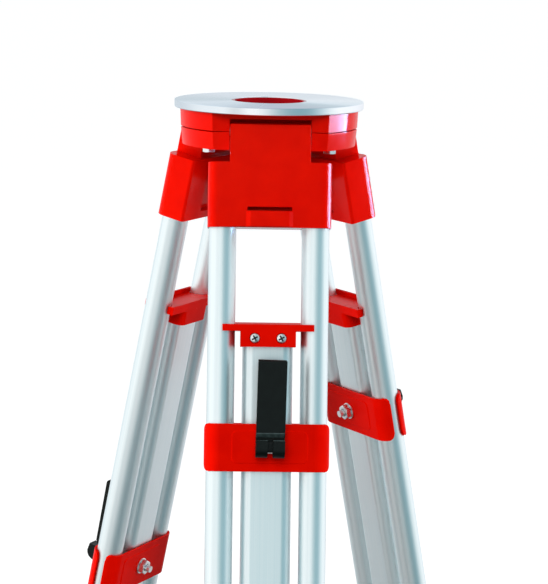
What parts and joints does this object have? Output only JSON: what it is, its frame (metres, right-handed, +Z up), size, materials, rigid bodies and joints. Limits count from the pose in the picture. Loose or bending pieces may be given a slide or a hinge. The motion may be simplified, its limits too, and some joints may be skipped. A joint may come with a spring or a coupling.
{
  "type": "surveyor tripod",
  "caption": "Surveyor's tripod with a flat round head, a fixing screw, hinged legs of twin tubes around sliding extensions, cam clamps and pointed feet.",
  "frame": {"origin": "on the ground, under the centre of the bounding box of the standing tripod", "axes": "+Z up, -Y towards the front leg, +X to the right seen from the front leg"},
  "size_m": [0.5248, 0.4612, 1.0789],
  "materials": {
    "red_paint": "gloss enamel on cast aluminium and pressed steel",
    "machined_aluminium": "turned, fine circular tool marks",
    "anodised_aluminium": "extruded and satin anodised",
    "black_plastic": "moulded nylon, semi-gloss",
    "zinc_plated_steel": "bright zinc plate",
    "bright_steel": "turned steel"
  },
  "bodies": {
    "head": {"head_plate": "machined_aluminium", "head_casting": "red_paint", "right_hinge_cap": "red_paint", "rear_hinge_cap": "red_paint", "left_hinge_cap": "red_paint", "right_cap_bolt": "zinc_plated_steel", "rear_cap_bolt": "zinc_plated_steel", "left_cap_bolt": "zinc_plated_steel", "front_hinge_pin": "bright_steel", "right_hinge_pin": "bright_steel", "left_hinge_pin": "bright_steel", "arm_pivot_bolt": "zinc_plated_steel"},
    "screw_arm": {"screw_arm": "zinc_plated_steel"},
    "screw_bush": {"screw_bush": "black_plastic"},
    "fixing_screw": {"fixing_screw": "bright_steel", "screw_knob": "black_plastic"},
    "front_leg": {"front_socket": "red_paint", "front_tube_1": "anodised_aluminium", "front_tube_2": "anodised_aluminium", "front_tie_bracket": "red_paint"},
    "front_extension": {"front_extension": "anodised_aluminium", "front_guide_cap": "red_paint", "front_clamp_outer_plate": "red_paint", "front_clamp_inner_plate": "red_paint", "front_clamp_bolt": "zinc_plated_steel", "front_clamp_nut": "zinc_plated_steel", "front_foot": "red_paint", "front_foot_point": "bright_steel"},
    "front_cam_lever": {"front_cam_lever": "black_plastic", "front_cam_pin": "zinc_plated_steel"},
    "right_leg": {"right_socket": "red_paint", "right_tube_1": "anodised_aluminium", "right_tube_2": "anodised_aluminium", "right_tie_bracket": "red_paint"},
    "right_extension": {"right_extension": "anodised_aluminium", "right_guide_cap": "red_paint", "right_clamp_outer_plate": "red_paint", "right_clamp_inner_plate": "red_paint", "right_clamp_bolt": "zinc_plated_steel", "right_clamp_nut": "zinc_plated_steel", "right_foot": "red_paint", "right_foot_point": "bright_steel"},
    "right_cam_lever": {"right_cam_lever": "black_plastic", "right_cam_pin": "zinc_plated_steel"},
    "left_leg": {"left_socket": "red_paint", "left_tube_1": "anodised_aluminium", "left_tube_2": "anodised_aluminium", "left_tie_bracket": "red_paint"},
    "left_extension": {"left_extension": "anodised_aluminium", "left_guide_cap": "red_paint", "left_clamp_outer_plate": "red_paint", "left_clamp_inner_plate": "red_paint", "left_clamp_bolt": "zinc_plated_steel", "left_clamp_nut": "zinc_plated_steel", "left_foot": "red_paint", "left_foot_point": "bright_steel"},
    "left_cam_lever": {"left_cam_lever": "black_plastic", "left_cam_pin": "zinc_plated_steel"}
  },
  "joints": [
    {"name": "front_leg_hinge", "type": "hinge", "parent": "head", "child": "front_leg", "pos_m": [0, 0.01702, 1.05753], "axis": [1, 0, 0], "range_deg": [-14, 11.8]},
    {"name": "front_extension_slide", "type": "slide", "parent": "front_leg", "child": "front_extension", "axis": [0, -0.2052, -0.9787], "range_m": [0, 0.45]},
    {"name": "front_lever_hinge", "type": "hinge", "parent": "front_extension", "child": "front_cam_lever", "pos_m": [0.0022, -0.06018, 0.81113], "axis": [0.9998, -0.0043, -0.0205], "range_deg": [0, 110]},
    {"name": "right_leg_hinge", "type": "hinge", "parent": "head", "child": "right_leg", "pos_m": [0.04373, 0.09277, 1.05753], "axis": [-0.5, 0.866, 0], "range_deg": [-14, 11.8]},
    {"name": "right_extension_slide", "type": "slide", "parent": "right_leg", "child": "right_extension", "axis": [0.1777, 0.1026, -0.9787], "range_m": [0, 0.45]},
    {"name": "right_lever_hinge", "type": "hinge", "parent": "right_extension", "child": "right_cam_lever", "pos_m": [0.10949, 0.13327, 0.81113], "axis": [-0.4962, 0.868, -0.0205], "range_deg": [0, 110]},
    {"name": "left_leg_hinge", "type": "hinge", "parent": "head", "child": "left_leg", "pos_m": [-0.04373, 0.09277, 1.05753], "axis": [-0.5, -0.866, 0], "range_deg": [-14, 11.8]},
    {"name": "left_extension_slide", "type": "slide", "parent": "left_leg", "child": "left_extension", "axis": [-0.1777, 0.1026, -0.9787], "range_m": [0, 0.45]},
    {"name": "left_lever_hinge", "type": "hinge", "parent": "left_extension", "child": "left_cam_lever", "pos_m": [-0.13825, 0.1448, 0.66481], "axis": [-0.5036, -0.8637, -0.0205], "range_deg": [0, 110]},
    {"name": "arm_swing", "type": "hinge", "parent": "head", "child": "screw_arm", "pos_m": [0, 0.10302, 1.07873], "axis": [0, 0, 1], "range_deg": [-16, 16]},
    {"name": "screw_slide", "type": "slide", "parent": "screw_arm", "child": "screw_bush", "axis": [0, 1, 0], "range_m": [-0.015, 0.015]},
    {"name": "screw_turn", "type": "hinge", "parent": "screw_bush", "child": "fixing_screw", "pos_m": [0, 0.06752, 1.07873], "axis": [0, 0, 1], "continuous": true}
  ]
}
